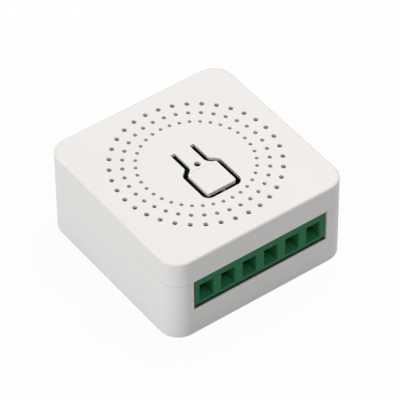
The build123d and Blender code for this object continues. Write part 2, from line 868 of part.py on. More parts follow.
def make_chip(place, size, lead_count):
    """Flat chip under the board, with a row of short leads on two sides."""
    x, y = place
    length, width, height = size
    top = board_underside_z - chip_lead_thickness
    chip = block((x - length / 2, y - width / 2, top - height), (x + length / 2, y + width / 2, top))
    chip = chamfer(edges_at(chip, top - height), height / 6)
    pitch = length / (lead_count + 1)
    for index in range(lead_count):
        lead_x = x - length / 2 + pitch * (index + 1)
        lead = block(
            (lead_x - pitch / 6, y - width / 2 - chip_lead_reach, top - chip_lead_thickness),
            (lead_x + pitch / 6, y + width / 2 + chip_lead_reach, board_underside_z),
        )
        chip = chip + lead
    return chip


def make_inductor_core():
    """Drum core of the choke with a waist for its winding."""
    x, y = inductor_place
    top = board_underside_z - capacitor_standoff
    bottom = top - inductor_height
    waist_top = top - inductor_flange
    waist_bottom = bottom + inductor_flange
    core = rod(x, y, bottom, top, inductor_waist)
    for low, high in ((bottom, waist_bottom), (waist_top, top)):
        core = core + rod(x, y, low, high, inductor_diameter)
    for lead_x, lead_y in lead_places(inductor_place):
        core = core + rod(lead_x, lead_y, top - overrun, board_top_z + pin_stand, lead_diameter)
    return core


def make_inductor_winding():
    """Winding round the waist of the drum core."""
    x, y = inductor_place
    top = board_underside_z - capacitor_standoff - inductor_flange - relay_clearance
    bottom = top - inductor_height + 2 * inductor_flange + 2 * relay_clearance
    winding = rod(x, y, bottom, top, inductor_diameter - winding_setback * 2)
    return winding - rod(x, y, bottom - overrun, top + overrun, inductor_waist + 2 * relay_clearance)


def make_radio_board():
    """Upright radio board behind the relays."""
    return block(
        (-radio_width / 2, radio_y, board_underside_z - radio_height),
        (radio_width / 2, radio_y + radio_thickness, board_underside_z),
    )


def make_radio_shield():
    """Screening can on the radio board."""
    front = radio_y + radio_thickness
    top = board_underside_z - shield_drop
    can = block(
        (-shield_width / 2, front, top - shield_height),
        (shield_width / 2, front + shield_depth, top),
    )
    can = fillet(can.edges().filter_by(Axis.Y), shield_corner_radius)
    inside = block(
        (-shield_width / 2 + shield_wall, front - overrun, top - shield_height + shield_wall),
        (shield_width / 2 - shield_wall, front + shield_depth - shield_wall, top - shield_wall),
    )
    return can - inside


def radio_pin_places():
    """The radio board's row of pins."""
    y = radio_y - radio_pin_diameter / 2
    half = (radio_pin_count - 1) / 2
    return [((index - half) * radio_pin_pitch, y) for index in range(radio_pin_count)]


def make_radio_pins():
    """Row of pins that join the radio board to the main board."""
    bottom = board_underside_z - radio_pin_length
    return [rod(x, y, bottom, board_top_z + pin_stand, radio_pin_diameter) for x, y in radio_pin_places()]


def make_small_parts():
    """Small resistors and capacitors on the board's upper side."""
    parts = []
    for share_x, share_y in small_part_shares:
        x = share_x * board_half
        y = share_y * board_half
        parts.append(block(
            (x - small_part_length / 2, y - small_part_width / 2, board_top_z),
            (x + small_part_length / 2, y + small_part_width / 2, board_top_z + small_part_height),
        ))
    return parts


def board_pins():
    """Every pin through the board: its place and diameter."""
    pins = [(x, screw_y, math.hypot(pin_width, pin_thickness)) for x in pole_places]
    for place_x in relay_places_x:
        pins += [(place_x + y, relay_centre_y + x, relay_pin_diameter) for x, y in relay_pin_places()]
    for place in (bulk_place, output_place, inductor_place):
        pins += [(x, y, lead_diameter) for x, y in lead_places(place)]
    x, y = varistor_place
    pins += [(x, y + side * lead_pitch / 2, lead_diameter) for side in (-1, 1)]
    x, y = fuse_place
    reach = fuse_length / 2 + fuse_lead_reach
    pins += [(x, y + side * reach, lead_diameter) for side in (-1, 1)]
    pins += [(x, y, radio_pin_diameter) for x, y in radio_pin_places()]
    return pins


def make_solder_joints():
    """A solder cone round each pin on the board's upper side."""
    joints = []
    for x, y, diameter in board_pins():
        outer = diameter / 2 + solder_width
        cone = Cone(outer, diameter / 2 + solder_width / 4, solder_height)
        cone = Pos(x, y, board_top_z + solder_height / 2) * cone
        joints.append(cone - rod(x, y, board_top_z - overrun, case_height, diameter))
    return joints


def make_relays():
    """The sub-parts of both relays, placed on the board."""
    made = {
        "case": [make_relay_case()],
        "base": [make_relay_base()],
        "bobbin": [make_relay_bobbin()],
        "coil": [make_relay_coil()],
        "yoke": [make_relay_yoke()],
        "armature": [make_relay_armature()],
        "contact_blade": [make_relay_blade()],
        "fixed_contact": [make_relay_fixed_contact()],
        "pins": make_relay_pins(),
    }
    placed = {}
    for index in range(len(relay_places_x)):
        for name, shapes in made.items():
            solids = [relay_place(index) * shape for shape in shapes]
            placed[f"relay_{index + 1}_{name}"] = group(solids)
    return placed


def group(shapes):
    """Separate solids that share one node."""
    return Compound(children=[solid for shape in shapes for solid in shape.solids()])


def make_all():
    """Every sub-part by its name."""
    parts = {
        "top_cover": make_cover(),
        "press_button": make_button(),
        "base_shell": make_base(),
        "main_board": make_board(),
        "terminal_housing": make_housing(),
        "terminal_clamps": group([make_clamp(x) for x in pole_places]),
        "switch_body": make_switch_body(),
        "switch_frame": make_switch_frame(),
        "switch_plunger": make_plunger(),
        "status_light": make_status_light(),
        "bulk_capacitor": make_capacitor(bulk_place, bulk_diameter, bulk_height),
        "output_capacitor": make_capacitor(output_place, output_diameter, output_height),
        "surge_varistor": make_varistor(),
        "fuse_resistor": make_fuse_resistor(),
        "bridge_rectifier": make_chip(rectifier_place, rectifier_size, rectifier_lead_count),
        "power_chip": make_chip(power_chip_place, power_chip_size, power_chip_lead_count),
        "inductor_core": make_inductor_core(),
        "inductor_winding": make_inductor_winding(),
        "radio_board": make_radio_board(),
        "radio_shield": make_radio_shield(),
        "radio_pins": group(make_radio_pins()),
        "small_parts": group(make_small_parts()),
        "solder_joints": group(make_solder_joints()),
    }
    for index, x in enumerate(pole_places):
        parts[f"wire_guard_{index + 1}"] = make_guard(x)
        parts[f"terminal_screw_{index + 1}"] = make_screw(x)
    parts.update(make_relays())
    return parts


os.makedirs("parts", exist_ok=True)
for part_name, part_shape in make_all().items():
    save(part_name, part_shape)
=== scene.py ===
"""Looks of the smart relay module: finishes for every piece, wound coils, camera, lights and floor.

Everything is in metres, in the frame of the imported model: origin at the centre of the underside,
+Z up out of the button face, -Y out of the face with the wire entries.
"""

import math

import bmesh
import bpy
from bpy.props import FloatProperty, FloatVectorProperty, IntProperty, PointerProperty
from bpy.types import Operator, Panel, PropertyGroup
from mathutils import Matrix, Vector


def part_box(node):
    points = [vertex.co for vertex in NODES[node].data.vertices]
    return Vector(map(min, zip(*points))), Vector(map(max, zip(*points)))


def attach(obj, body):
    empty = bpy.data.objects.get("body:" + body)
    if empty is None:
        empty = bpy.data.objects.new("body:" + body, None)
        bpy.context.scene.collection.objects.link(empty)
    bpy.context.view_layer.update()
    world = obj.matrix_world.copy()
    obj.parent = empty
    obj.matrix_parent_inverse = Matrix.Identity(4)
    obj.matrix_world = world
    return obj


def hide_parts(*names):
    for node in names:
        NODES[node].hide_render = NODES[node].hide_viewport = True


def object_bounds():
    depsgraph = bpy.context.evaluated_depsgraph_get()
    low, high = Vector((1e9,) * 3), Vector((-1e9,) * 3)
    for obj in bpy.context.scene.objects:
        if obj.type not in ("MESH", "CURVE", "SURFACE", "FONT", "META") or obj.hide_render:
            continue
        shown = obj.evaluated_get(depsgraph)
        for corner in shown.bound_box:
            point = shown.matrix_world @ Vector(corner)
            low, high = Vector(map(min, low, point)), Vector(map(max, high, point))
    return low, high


bl_info = {
    "name": "Smart relay module",
    "version": (1, 0, 0),
    "blender": (4, 5, 0),
    "location": "View3D > Sidebar > Relay module",
    "description": "Finishes, wound coils, camera and lights for the relay module",
    "category": "Object",
}

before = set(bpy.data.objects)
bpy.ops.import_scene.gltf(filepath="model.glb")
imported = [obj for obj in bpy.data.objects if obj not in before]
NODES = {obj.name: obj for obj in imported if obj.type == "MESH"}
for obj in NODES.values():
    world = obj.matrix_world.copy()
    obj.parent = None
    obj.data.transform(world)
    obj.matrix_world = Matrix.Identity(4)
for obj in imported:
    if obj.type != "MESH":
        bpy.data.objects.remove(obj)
CAD_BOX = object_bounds()

MM = 0.001
RELAYS = (1, 2)
POLES = (1, 2, 3, 4, 5, 6)
Y_AXIS, Z_AXIS = 1, 2

# Colours of the metals
TIN = (0.64, 0.64, 0.65)
SOLDER = (0.66, 0.67, 0.69)
BRASS = (0.62, 0.45, 0.2)
DULL_ZINC = (0.42, 0.42, 0.42)
BRIGHT_ZINC = (0.55, 0.55, 0.53)
YOKE_NICKEL = (0.5, 0.49, 0.47)
ARMATURE_NICKEL = (0.52, 0.51, 0.49)
BLADE_BRONZE = (0.66, 0.36, 0.2)
CONTACT_BRONZE = (0.66, 0.38, 0.22)
SHIELD_TIN = (0.6, 0.6, 0.6)
RADIO_PIN_GILT = (0.6, 0.56, 0.42)
SWITCH_STEEL = (0.58, 0.58, 0.58)
COIL_COPPER = (0.6, 0.22, 0.08)
CHOKE_COPPER = (0.62, 0.24, 0.08)

# Colours of the plastics, resins and ceramics inside
CASE_BLACK = (0.02, 0.02, 0.022)
BASE_BLACK = (0.03, 0.03, 0.03)
SWITCH_BLACK = (0.025, 0.025, 0.027)
PLUNGER_GREY = (0.08, 0.08, 0.085)
BOBBIN_CREAM = (0.62, 0.58, 0.48)
CLEAR_RESIN = (0.2, 0.19, 0.155)
SLEEVE_BLUE_BLACK = (0.015, 0.018, 0.03)
VARISTOR_BLUE = (0.02, 0.07, 0.32)
RESISTOR_GREEN = (0.12, 0.28, 0.2)
RESISTOR_BAND_RED = (0.25, 0.06, 0.02)
CHIP_BLACK = (0.02, 0.02, 0.02)
FERRITE_GREY = (0.05, 0.05, 0.052)
FIRED_BLACK = (0.03, 0.03, 0.03)
FIRED_TAN = (0.42, 0.3, 0.18)

# Scales of noise along X, Y and Z that draw its lumps out into lines along one axis
LINES_ALONG_Z = (1.0, 1.0, 0.08)
LINES_ALONG_X = (0.08, 1.0, 1.0)
SHEET_LINES_ALONG_X = (0.1, 1.0, 1.0)
STREAKS_ALONG_X = (0.25, 1.0, 1.0)


def tint(colour, factor):
    """A colour made lighter or darker by a factor."""
    return tuple(min(1.0, part * factor) for part in colour)


class Value:
    """A node's output socket, with Python's operators as Math nodes."""

    def __init__(self, finish, socket):
        self.finish = finish
        self.socket = socket

    def maths(self, operation, *others):
        return self.finish.maths(operation, self, *others)

    def __add__(self, other):
        return self.maths("ADD", other)

    __radd__ = __add__

    def __sub__(self, other):
        return self.maths("SUBTRACT", other)

    def __rsub__(self, other):
        return self.finish.maths("SUBTRACT", other, self)

    def __mul__(self, other):
        return self.maths("MULTIPLY", other)

    def __truediv__(self, other):
        return self.maths("DIVIDE", other)

    def __gt__(self, other):
        return self.maths("GREATER_THAN", other)

    def __lt__(self, other):
        return self.maths("LESS_THAN", other)

    def absolute(self):
        return self.maths("ABSOLUTE")

    def to_and_fro(self, length):
        """Rises to a length and falls back to 0, over and over."""
        return self.maths("PINGPONG", length)

    def clamped(self):
        return self.finish.add("ShaderNodeClamp", {}, [self])


class Finish:
    """One material, built up from nodes."""

    def __init__(self, name, constants=None):
        self.material = bpy.data.materials.new(name)
        self.material.use_nodes = True
        self.tree = self.material.node_tree
        self.shader = self.tree.nodes["Principled BSDF"]
        for socket, value in (constants or {}).items():
            self.set(socket, value)

    def put(self, socket, value):
        """Links a Value to a socket, or writes a number or colour into it."""
        if isinstance(value, Value):
            self.tree.links.new(value.socket, socket)
        else:
            socket.default_value = value

    def set(self, name, value):
        self.put(self.shader.inputs[name], value)

    def add(self, kind, settings, values, output=0):
        """Adds a node: its settings first, then its sockets by place or by name."""
        node = self.tree.nodes.new(kind)
        for name, setting in settings.items():
            setattr(node, name, setting)
        pairs = values.items() if isinstance(values, dict) else enumerate(values)
        for key, value in pairs:
            self.put(node.inputs[key], value)
        return Value(self, node.outputs[output])

    def maths(self, operation, *values):
        return self.add("ShaderNodeMath", {"operation": operation}, values)

    def place(self):
        """The point on the object, in metres."""
        return self.add("ShaderNodeTexCoord", {}, {}, output="Object")

    def axes(self, vector):
        """The three parts of a vector."""
        node = self.tree.nodes.new("ShaderNodeSeparateXYZ")
        self.put(node.inputs[0], vector)
        return [Value(self, output) for output in node.outputs]

    def noise(self, size, detail, stretch=None):
        """Soft noise from 0 to 1 whose lumps are about one size across, or longer if stretched."""
        vector = self.place()
        if stretch:
            vector = self.add("ShaderNodeVectorMath", {"operation": "MULTIPLY"}, [vector, stretch])
        values = {"Vector": vector, "Scale": 1 / size, "Detail": detail}
        return self.add("ShaderNodeTexNoise", {}, values)

    def cells(self, size, output):
        """Scattered cells of one size: Distance from a cell's point, or the cell's own Color."""
        values = {"Vector": self.place(), "Scale": 1 / size}
        return self.add("ShaderNodeTexVoronoi", {}, values, output=output)

    def mixed(self, factor, first, second):
        """One colour where the factor is 0, the other where it is 1."""
        colours = [(*c, 1.0) if isinstance(c, tuple) else c for c in (first, second)]
        values = {0: factor, 6: colours[0], 7: colours[1]}
        return self.add("ShaderNodeMix", {"data_type": "RGBA"}, values, output=2)

    def shades(self, factor, colour, darkest, lightest):
        """A colour that runs from a darker to a lighter shade of itself."""
        return self.mixed(factor, tint(colour, darkest), tint(colour, lightest))

    def roughened(self, factor, smoothest, roughest):
        """Runs the roughness from one value to the other as a factor goes from 0 to 1."""
        self.set("Roughness", smoothest + factor * (roughest - smoothest))

    def bumped(self, height, depth):
        """Feeds a height, from 0 to 1 and one depth deep, to the shader's normal."""
        self.set("Normal", self.add("ShaderNodeBump", {}, {"Height": height, "Distance": depth}))


def above_bodies(finish):
    """1 on the leads, over the bodies that hang under the board."""
    body_gap = 0.28 * MM
    _, _, z = finish.axes(finish.place())
    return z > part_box("main_board")[0].z - body_gap


def outside_disc(finish):
    """1 on the varistor's leads, outside its disc."""
    margin = 0.02 * MM
    _, y, z = finish.axes(finish.place())
    low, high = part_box("surge_varistor")
    radius = (high.y - low.y) / 2
    across, up = y - (low.y + radius), z - (low.z + radius)
    return (across * across + up * up) > (radius + margin) ** 2


def past_ends(finish, node, lead):
    """1 on the leads of a piece that reach past its body along Y."""
    _, y, _ = finish.axes(finish.place())
    low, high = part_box(node)
    half = (high.y - low.y) / 2
    return (y - (low.y + half)).absolute() > half - lead


def tinned(finish, leads, colour):
    """Bright tin on the leads, the body's own colour elsewhere."""
    finish.set("Base Color", finish.mixed(leads, colour, TIN))
    finish.set("Metallic", leads)


def moulded_white(settings):
    """Spark-eroded white case plastic: fine grain, faint flow marks, and painted shade that darkens
    the pocket behind the window's sill.
    """
    flow_per_grain = 60
    sill_front, sill_back = 0.3 * MM, 1.65 * MM
    sill_half_length = 15.9 * MM
    sill_bottom, sill_top = 4.0 * MM, 6.2 * MM
    # How dark the painted shade in the sill's pocket makes the white
    painted_shade_tint = 0.1
    colour = tuple(settings.shell_colour)
    finish = Finish("white_shell_plastic", {"Specular IOR Level": 0.4})
    grain = finish.noise(size=settings.shell_grain, detail=3.0)
    flow = finish.noise(size=settings.shell_grain * flow_per_grain, detail=1.0)
    x, y, z = finish.axes(finish.place())
    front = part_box("base_shell")[0].y
    behind = (y > front + sill_front) * (y < front + sill_back) * (x * x < sill_half_length ** 2)
    # Painted shade: the pocket behind the sill's lip, under the terminal block, is darkened to
    # stand in for the shade in the gap there
    painted_shade = behind * (z > sill_bottom) * (z < sill_top) * settings.sill_painted_shade
    unshaded = finish.shades(flow, colour, darkest=0.985, lightest=1.01)
    finish.set("Base Color", finish.mixed(painted_shade, unshaded, tint(colour, painted_shade_tint)))
    finish.roughened(grain, smoothest=0.42, roughest=0.58)
    finish.bumped(grain, depth=settings.shell_grain_depth)
    return finish.material


def moulded_green(settings):
    """Dark green terminal plastic: slightly glossy, with glass-fibre streaks."""
    colour = tuple(settings.block_colour)
    finish = Finish("green_block_plastic", {"Specular IOR Level": 0.07})
    streaks = finish.noise(size=0.35 * MM, detail=3.0, stretch=STREAKS_ALONG_X)
    grain = finish.noise(size=0.09 * MM, detail=2.0)
    finish.set("Base Color", finish.shades(streaks, colour, darkest=0.86, lightest=1.14))
    finish.roughened(streaks, smoothest=0.42, roughest=0.56)
    finish.bumped(grain, depth=0.006 * MM)
    return finish.material


def plain_moulding(name, colour, smoothest=0.39):
    """Plain engineering plastic with a fine grain."""
    grain_roughness = 0.12
    finish = Finish(name)
    grain = finish.noise(size=0.12 * MM, detail=3.0)
    patches = finish.noise(size=2.5 * MM, detail=1.0)
    finish.set("Base Color", finish.shades(patches, colour, darkest=0.85, lightest=1.15))
    finish.roughened(grain, smoothest, smoothest + grain_roughness)
    finish.bumped(grain, depth=0.004 * MM)
    return finish.material


def plated_metal(name, colour, roughness, stretch=LINES_ALONG_Z):
    """Bright plated or rolled metal with fine drawing lines and duller patches."""
    polish, line_roughness, patch_roughness = 0.06, 0.1, 0.08
    finish = Finish(name, {"Metallic": 1.0})
    lines = finish.noise(size=0.05 * MM, detail=2.0, stretch=stretch)
    patches = finish.noise(size=1.4 * MM, detail=2.0)
    finish.set("Base Color", finish.shades(patches, colour, darkest=0.75, lightest=1.05))
    uneven = lines * line_roughness + patches * patch_roughness
    finish.set("Roughness", roughness - polish + uneven)
    finish.bumped(lines, depth=0.003 * MM)
    return finish.material


def solder_mask(settings):
    """Circuit board: green mask over faint copper tracks."""
    half_pitch, track_edge = 0.9 * MM, 0.5 * MM
    area_size, area_choice = 5.0 * MM, 0.45
    weave_share, weave_shade, weave_height = 0.3, 0.6, 0.2
    colour = tuple(settings.board_colour)
    finish = Finish("board_mask", {"Coat Weight": 0.4, "Coat Roughness": 0.15})
    x, y, _ = finish.axes(finish.place())
    areas = finish.axes(finish.cells(size=area_size, output="Color"))[0]
    tracks = ((x + y).to_and_fro(half_pitch) > track_edge) * (areas > area_choice)
    weave = finish.noise(size=0.3 * MM, detail=1.0)
    mask = finish.shades(tracks, colour, darkest=0.8, lightest=1.7)
    finish.set("Base Color", finish.mixed(weave * weave_share, mask, tint(colour, weave_shade)))
    finish.roughened(weave, smoothest=0.26, roughest=0.36)
    finish.bumped(tracks + weave * weave_height, depth=0.02 * MM)
    return finish.material


def wound_copper(name, colour):
    """Enamelled copper wire."""
    finish = Finish(name, {"Metallic": 0.85, "Coat Weight": 0.5, "Coat Roughness": 0.1})
    patches = finish.noise(size=0.8 * MM, detail=2.0)
    finish.set("Base Color", finish.shades(patches, colour, darkest=0.8, lightest=1.1))
    finish.roughened(patches, smoothest=0.22, roughest=0.34)
    return finish.material


def dipped_disc(name, colour):
    """Epoxy dip of the varistor with a slow orange-peel surface, its leads bare."""
    finish = Finish(name, {"Coat Weight": 0.3, "Coat Roughness": 0.2})
    peel = finish.noise(size=0.5 * MM, detail=2.0)
    dip = finish.shades(peel, colour, darkest=0.88, lightest=1.1)
    tinned(finish, outside_disc(finish), dip)
    finish.roughened(peel, smoothest=0.3, roughest=0.42)
    finish.bumped(peel, depth=0.03 * MM)
    return finish.material


def resistor_bands(name, colour):
    """Coated resistor body with plain colour bands round it, its leads bare."""
    half_pitch, band_edge = 0.75 * MM, 0.5 * MM
    banded_half_length = 2.4 * MM
    lead = 1.15 * MM
    finish = Finish(name)
    _, y, _ = finish.axes(finish.place())
    low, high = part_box("fuse_resistor")
    along = y - (low.y + high.y) / 2
    inside = along.absolute() < banded_half_length
    bands = (along.to_and_fro(half_pitch) > band_edge) * inside
    leads = past_ends(finish, "fuse_resistor", lead)
    tinned(finish, leads, finish.mixed(bands, colour, RESISTOR_BAND_RED))
    peel = finish.noise(size=0.4 * MM, detail=2.0)
    finish.roughened(peel, smoothest=0.34, roughest=0.46)
    finish.bumped(peel, depth=0.02 * MM)
    return finish.material


def sintered_ferrite(name, colour):
    """Dark ferrite with a rough pressed grain, its leads bare."""
    finish = Finish(name)
    grain = finish.cells(size=0.12 * MM, output="Distance")
    pressed = finish.shades(grain, colour, darkest=0.7, lightest=1.4)
    tinned(finish, above_bodies(finish), pressed)
    finish.roughened(grain, smoothest=0.6, roughest=0.8)
    finish.bumped(grain, depth=0.012 * MM)
    return finish.material


def milky_resin(name, colour):
    """Milky resin of the light."""
    finish = Finish(name, {"Coat Weight": 0.5, "Coat Roughness": 0.1})
    haze = finish.noise(size=0.4 * MM, detail=2.0)
    finish.set("Base Color", finish.shades(haze, colour, darkest=0.92, lightest=1.03))
    finish.roughened(haze, smoothest=0.16, roughest=0.26)
    return finish.material


def capacitor_wrap(name, colour):
    """Shrink sleeve with a bare aluminium end and bare leads."""
    bare_end = 0.25 * MM
    finish = Finish(name, {"Coat Weight": 0.2, "Coat Roughness": 0.1})
    _, _, z = finish.axes(finish.place())
    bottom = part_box("bulk_capacitor")[0].z
    tinned(finish, ((z < bottom + bare_end) + above_bodies(finish)).clamped(), colour)
    peel = finish.noise(size=0.9 * MM, detail=1.0)
    finish.roughened(peel, smoothest=0.3, roughest=0.4)
    finish.bumped(peel, depth=0.01 * MM)
    return finish.material


def leaded_chip(name, node, colour):
    """Moulded chip with short tinned leads at its sides."""
    lead, foot = 0.68 * MM, 0.19 * MM
    finish = Finish(name)
    _, _, z = finish.axes(finish.place())
    grain = finish.noise(size=0.12 * MM, detail=3.0)
    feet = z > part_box(node)[1].z - foot
    leads = (past_ends(finish, node, lead) + feet).clamped()
    tinned(finish, leads, finish.shades(grain, colour, darkest=0.85, lightest=1.15))
    finish.roughened(grain, smoothest=0.39, roughest=0.51)
    finish.bumped(grain, depth=0.004 * MM)
    return finish.material


def fired_chips(name):
    """Small chip parts: fired bodies, some black and some tan."""
    tan_above = 0.5
    finish = Finish(name)
    tone = finish.axes(finish.cells(size=3.0 * MM, output="Color"))[0]
    finish.set("Base Color", finish.mixed(tone > tan_above, FIRED_BLACK, FIRED_TAN))
    grain = finish.noise(size=0.1 * MM, detail=2.0)
    finish.roughened(grain, smoothest=0.4, roughest=0.5)
    finish.bumped(grain, depth=0.005 * MM)
    return finish.material


def coat(names, material):
    """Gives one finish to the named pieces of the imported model."""
    for name in names:
        piece = NODES[name]
        piece.data.materials.clear()
        piece.data.materials.append(material)


def winding_profile(length, outer, turns):
    """Points (along, radius) round one side of a winding, with a ridge for each turn."""
    steps_per_turn = 6
    inner_per_outer = 0.66
    inner = outer * inner_per_outer
    ridge = length / turns / 2
    steps = turns * steps_per_turn
    profile = []
    for step in range(steps + 1):
        phase = (step % steps_per_turn) / steps_per_turn
        rise = math.sin(math.pi * phase)
        profile.append((-length / 2 + length * step / steps, outer - ridge * (1 - rise)))
    return [*profile, (length / 2, inner), (-length / 2, inner)]


def turned_mesh(name, profile):
    """A smooth closed mesh, made by turning a profile once round the Z axis."""
    steps_round = 64
    build = bmesh.new()
    rings = []
    for index in range(steps_round):
        angle = 2 * math.pi * index / steps_round
        cosine, sine = math.cos(angle), math.sin(angle)
        rings.append([
            build.verts.new((radius * cosine, radius * sine, along)) for along, radius in profile
        ])
    for index, ring in enumerate(rings):
        following = rings[(index + 1) % steps_round]
        for place in range(len(profile)):
            after = (place + 1) % len(profile)
            build.faces.new((ring[place], following[place], following[after], ring[after]))
    bmesh.ops.recalc_face_normals(build, faces=build.faces)
    mesh = bpy.data.meshes.new(name)
    build.to_mesh(mesh)
    build.free()
    for face in mesh.polygons:
        face.use_smooth = True
    return mesh


def wound_ring(name, node, body, axis, material, turns):
    """Replaces a plain winding along Y or Z by one whose surface has a ridge for each turn."""
    low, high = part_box(node)
    half = (high - low) / 2
    mesh = turned_mesh(name, winding_profile(2 * half[axis], half.x, turns))
    turned = Matrix.Rotation(-math.pi / 2, 4, "X") if axis == Y_AXIS else Matrix.Identity(4)
    mesh.transform(Matrix.Translation((low + high) / 2) @ turned)
    mesh.materials.append(material)
    piece = bpy.data.objects.new(name, mesh)
    bpy.context.scene.collection.objects.link(piece)
    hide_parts(node)
    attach(piece, body)


class RelayModuleFinish(PropertyGroup):
    """Colours and grain of the pieces that show."""

    shell_colour: FloatVectorProperty(
        name="Shell colour", description="Colour of the white case plastic",
        subtype="COLOR", size=3, min=0.0, max=1.0, default=(0.86, 0.851, 0.834),
    )
    shell_grain: FloatProperty(
        name="Shell grain", description="Size of the moulded grain on the case",
        subtype="DISTANCE", unit="LENGTH", default=0.14 * MM,
    )
    shell_grain_depth: FloatProperty(
        name="Shell grain depth", description="Height of the moulded grain on the case",
        subtype="DISTANCE", unit="LENGTH", default=0.006 * MM,
    )
    # Painted shade: how far the pocket behind the window's sill is darkened
    sill_painted_shade: FloatProperty(
        name="Sill painted shade", description="How dark the pocket in the window's sill gets",
        min=0.0, max=1.0, default=0.85,
    )
    block_colour: FloatVectorProperty(
        name="Block colour", description="Colour of the terminal block",
        subtype="COLOR", size=3, min=0.0, max=1.0, default=(0.03, 0.195, 0.079),
    )
    board_colour: FloatVectorProperty(
        name="Board colour", description="Colour of the boards' solder mask",
        subtype="COLOR", size=3, min=0.0, max=1.0, default=(0.014, 0.03, 0.016),
    )
    coil_turns: IntProperty(
        name="Coil turns", description="Turns that show along each relay coil",
        min=4, max=120, default=44,
    )
    choke_turns: IntProperty(
        name="Choke turns", description="Turns that show along the choke",
        min=4, max=60, default=16,
    )


class RelayModuleStage(PropertyGroup):
    """Camera, lights and floor."""

    lens: FloatProperty(
        name="Lens", description="Focal length of the camera, in millimetres",
        subtype="DISTANCE_CAMERA", default=284.68,
    )
    sky: FloatProperty(
        name="Sky", description="Strength of the even light from all round",
        min=0.0, default=0.25,
    )
    side: FloatProperty(
        name="Side light", description="Power of the large lamp low on the left",
        subtype="POWER", min=0.0, default=6.85,
    )
    front: FloatProperty(
        name="Front light", description="Power of the large lamp in front, above the wire entries",
        subtype="POWER", min=0.0, default=1.7,
    )
    top: FloatProperty(
        name="Top light", description="Power of the large lamp high behind the back right corner",
        subtype="POWER", min=0.0, default=5.95,
    )
    floor_side: FloatProperty(
        name="Floor side", description="Side of the square floor",
        subtype="DISTANCE", unit="LENGTH", default=6.0,
    )
    floor_shadow: FloatProperty(
        name="Floor shadow", description="Share of the floor's own shading round the object",
        min=0.0, max=1.0, default=0.04,
    )


class RELAYMODULE_OT_case(Operator):
    """Finishes the cover, the button and the base"""

    bl_idname = "relaymodule.case"
    bl_label = "Case"

    def execute(self, context):
        settings = context.scene.relay_module_finish
        coat(["top_cover", "press_button", "base_shell"], moulded_white(settings))
        return {"FINISHED"}


class RELAYMODULE_OT_terminals(Operator):
    """Finishes the terminal block, its clamps, wire guards and screws"""

    bl_idname = "relaymodule.terminals"
    bl_label = "Terminals"

    def execute(self, context):
        settings = context.scene.relay_module_finish
        coat(["terminal_housing"], moulded_green(settings))
        coat(["terminal_clamps"], plated_metal("clamp_brass", BRASS, roughness=0.3))
        guard = plated_metal("guard_zinc", DULL_ZINC, roughness=0.4, stretch=LINES_ALONG_X)
        coat([f"wire_guard_{pole}" for pole in POLES], guard)
        screw = plated_metal("screw_zinc", BRIGHT_ZINC, roughness=0.32)
        coat([f"terminal_screw_{pole}" for pole in POLES], screw)
        return {"FINISHED"}


class RELAYMODULE_OT_board(Operator):
    """Finishes the boards, the solder and the small parts on them"""

    bl_idname = "relaymodule.board"
    bl_label = "Board"

    def execute(self, context):
        settings = context.scene.relay_module_finish
        coat(["main_board", "radio_board"], solder_mask(settings))
        coat(["solder_joints"], plated_metal("solder_tin", SOLDER, roughness=0.22))
        coat(["small_parts"], fired_chips("small_chips"))
        return {"FINISHED"}


class RELAYMODULE_OT_relays(Operator):
    """Finishes both relays and winds their coils"""

    bl_idname = "relaymodule.relays"
    bl_label = "Relays"

    def execute(self, context):
        settings = context.scene.relay_module_finish
        finishes = {
            "case": plain_moulding("relay_case_black", CASE_BLACK, smoothest=0.24),
            "base": plain_moulding("relay_base_black", BASE_BLACK),
            "bobbin": plain_moulding("bobbin_cream", BOBBIN_CREAM),
            "yoke": plated_metal("yoke_nickel", YOKE_NICKEL, roughness=0.35),
            "armature": plated_metal("armature_nickel", ARMATURE_NICKEL, roughness=0.35),
            "contact_blade": plated_metal("blade_bronze", BLADE_BRONZE, roughness=0.3),
            "fixed_contact": plated_metal("contact_bronze", CONTACT_BRONZE, roughness=0.3),
            "pins": plated_metal("relay_pin_tin", TIN, roughness=0.28),
        }
        for part, material in finishes.items():
            coat([f"relay_{relay}_{part}" for relay in RELAYS], material)
        wire = wound_copper("coil_wire", COIL_COPPER)
        for relay in RELAYS:
            wound_ring(f"relay_{relay}_winding", f"relay_{relay}_coil", "case", Y_AXIS,
                       wire, settings.coil_turns)
        return {"FINISHED"}


class RELAYMODULE_OT_supply(Operator):
    """Finishes the power supply's parts and winds the choke"""

    bl_idname = "relaymodule.supply"
    bl_label = "Power supply"

    def execute(self, context):
        settings = context.scene.relay_module_finish
        sleeve = capacitor_wrap("capacitor_sleeve", SLEEVE_BLUE_BLACK)
        coat(["bulk_capacitor", "output_capacitor"], sleeve)
        coat(["surge_varistor"], dipped_disc("varistor_blue", VARISTOR_BLUE))
        coat(["fuse_resistor"], resistor_bands("resistor_green", RESISTOR_GREEN))
        for chip in ("bridge_rectifier", "power_chip"):
            coat([chip], leaded_chip(f"{chip}_black", chip, CHIP_BLACK))
        coat(["inductor_core"], sintered_ferrite("choke_ferrite", FERRITE_GREY))
        wire = wound_copper("choke_wire", CHOKE_COPPER)
        wound_ring("choke_winding", "inductor_winding", "case", Z_AXIS,
                   wire, settings.choke_turns)
        return {"FINISHED"}


class RELAYMODULE_OT_radio(Operator):
    """Finishes the radio board's screening can and pins"""

    bl_idname = "relaymodule.radio"
    bl_label = "Radio"

    def execute(self, context):
        can = plated_metal("shield_tin", SHIELD_TIN, roughness=0.3, stretch=SHEET_LINES_ALONG_X)
        coat(["radio_shield"], can)
        coat(["radio_pins"], plated_metal("radio_pin_tin", RADIO_PIN_GILT, roughness=0.3))
        return {"FINISHED"}


